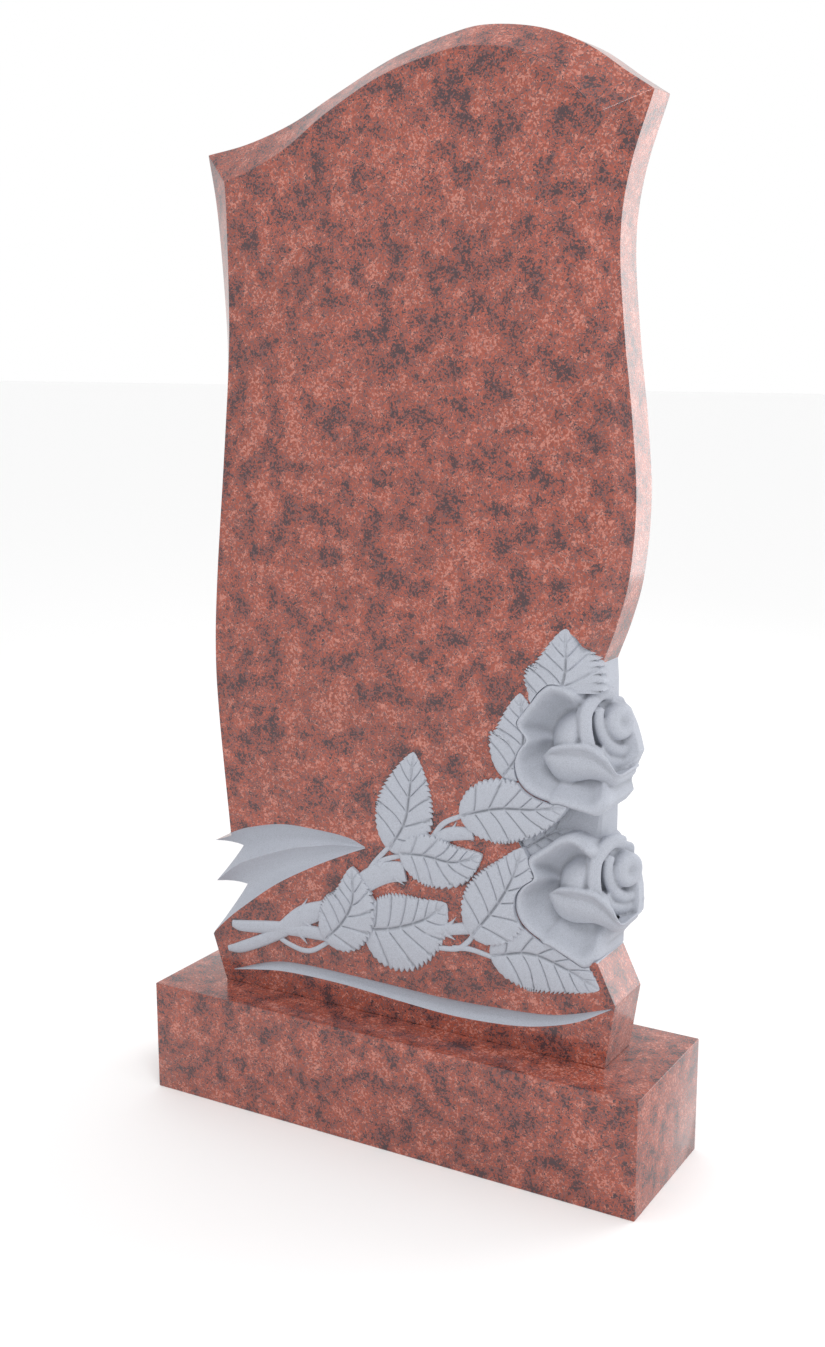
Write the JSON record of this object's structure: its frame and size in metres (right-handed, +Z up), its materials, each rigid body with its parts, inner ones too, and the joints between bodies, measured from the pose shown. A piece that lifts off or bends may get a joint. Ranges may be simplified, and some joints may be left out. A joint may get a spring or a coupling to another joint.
{
  "type": "granite headstone",
  "caption": "Upright polished granite headstone with a waisted, bevelled outline and roses carved in relief, on a block plinth.",
  "frame": {"origin": "centre of the plinth's underside", "axes": "+Z up, +Y from the carved face to the plain back, +X to the viewer's right when facing the carving"},
  "size_m": [0.7, 0.2, 1.3493],
  "materials": {
    "polished_granite": "polished red granite",
    "carved_headstone": "polished red granite with matte pale grey carving"
  },
  "bodies": {
    "root": {"plinth": "polished_granite", "headstone": "carved_headstone"}
  },
  "joints": []
}
